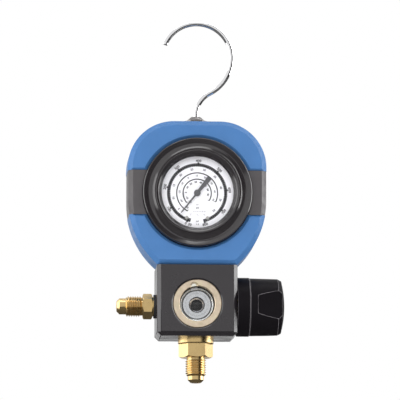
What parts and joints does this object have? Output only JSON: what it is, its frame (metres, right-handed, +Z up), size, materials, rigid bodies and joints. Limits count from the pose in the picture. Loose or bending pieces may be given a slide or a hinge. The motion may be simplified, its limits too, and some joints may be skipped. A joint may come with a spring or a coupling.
{
  "type": "refrigerant manifold gauge",
  "caption": "Hand-held charging gauge: round dial in a guarded shell over a black valve block with a sight glass, side knob, flare ports and a hanging hook.",
  "frame": {"origin": "underside of the hook's crown, where it hangs on a rail", "axes": "+Z up along the hook's stem, -Y out of the dial, +X towards the knob"},
  "size_m": [0.0903, 0.0358, 0.1976],
  "materials": {
    "hook_chrome": "bright chrome plate",
    "collar_steel": "dark satin plate",
    "guard_blue": "satin moulded plastic",
    "carrier_black": "fine matt moulding",
    "fastener_zinc": "zinc plate",
    "case_steel": "black enamel",
    "bezel_black": "glossy moulding",
    "lens_clear": "clear and polished",
    "seal_rubber": "black nitrile",
    "dial_white": "white enamel with printed scales",
    "pointer_grey": "dark grey enamel",
    "movement_brass": "machined brass",
    "tube_bronze": "drawn bronze",
    "socket_brass": "turned brass",
    "block_black": "black anodised",
    "port_brass": "turned brass",
    "ring_brass": "pale satin plate",
    "sight_glass": "clear and polished",
    "cup_steel": "bright turned finish",
    "stem_steel": "ground finish",
    "packing_white": "white seal plastic",
    "knob_black": "satin moulded grip"
  },
  "bodies": {
    "body": {"hook_collar": "collar_steel", "guard_upper": "guard_blue", "guard_lower": "guard_blue", "carrier": "carrier_black", "back_cover": "carrier_black", "cover_screws": "fastener_zinc", "carrier_screws": "fastener_zinc", "dial_screws": "fastener_zinc", "movement_screws": "fastener_zinc", "gauge_case": "case_steel", "bezel": "bezel_black", "lens": "lens_clear", "lens_gasket": "seal_rubber", "sight_gasket": "seal_rubber", "side_port_seal": "seal_rubber", "bottom_port_seal": "seal_rubber", "dial": "dial_white", "front_plate": "movement_brass", "rear_plate": "movement_brass", "plate_pillars": "movement_brass", "hair_spring": "movement_brass", "spring_stud": "movement_brass", "bourdon_tube": "tube_bronze", "tube_tip": "tube_bronze", "gauge_socket": "socket_brass", "manifold_block": "block_black", "side_port": "port_brass", "bottom_port": "port_brass", "valve_bonnet": "port_brass", "sight_ring": "ring_brass", "sight_glass": "sight_glass", "sight_cup": "cup_steel", "stem_packing": "packing_white"},
    "hook": {"hook": "hook_chrome", "hook_retainer": "hook_chrome"},
    "pointer": {"pointer": "pointer_grey", "pinion": "movement_brass"},
    "sector": {"sector_gear": "movement_brass"},
    "link": {"tube_link": "movement_brass"},
    "piston": {"valve_piston": "port_brass", "piston_seal": "seal_rubber", "seat_disc": "packing_white"},
    "knob": {"valve_stem": "stem_steel", "knob": "knob_black", "knob_cap": "knob_black", "knob_screw": "fastener_zinc"}
  },
  "joints": [
    {"name": "hook_swivel", "type": "hinge", "parent": "body", "child": "hook", "pos_m": [0, 0, -0.055], "axis": [0, 0, 1], "continuous": true},
    {"name": "pointer_turn", "type": "hinge", "parent": "body", "child": "pointer", "pos_m": [0, 0, -0.09345], "axis": [0, 1, 0], "range_deg": [-24.8, 306.8]},
    {"name": "sector_turn", "type": "hinge", "parent": "body", "child": "sector", "pos_m": [0, 0, -0.10425], "axis": [0, 1, 0], "range_deg": [-38.35, 3.1], "stiffness_Nm_per_rad": 0.002},
    {"name": "link_turn", "type": "hinge", "parent": "sector", "child": "link", "pos_m": [-0.00136, 0, -0.10854], "axis": [0, 1, 0], "range_deg": [-3.1, 38.35]},
    {"name": "knob_turn", "type": "hinge", "parent": "piston", "child": "knob", "pos_m": [0.03, 0, -0.1535], "axis": [1, 0, 0], "range_deg": [0, 540]},
    {"name": "valve_slide", "type": "slide", "parent": "body", "child": "piston", "axis": [1, 0, 0], "range_m": [0, 0.0019]}
  ],
  "couplings": [
    {"joint": "pointer_turn", "follows": "sector_turn", "ratio": -8},
    {"joint": "link_turn", "follows": "sector_turn", "ratio": -1},
    {"joint": "valve_slide", "follows": "knob_turn", "m_per_rad": 0.00019894}
  ]
}
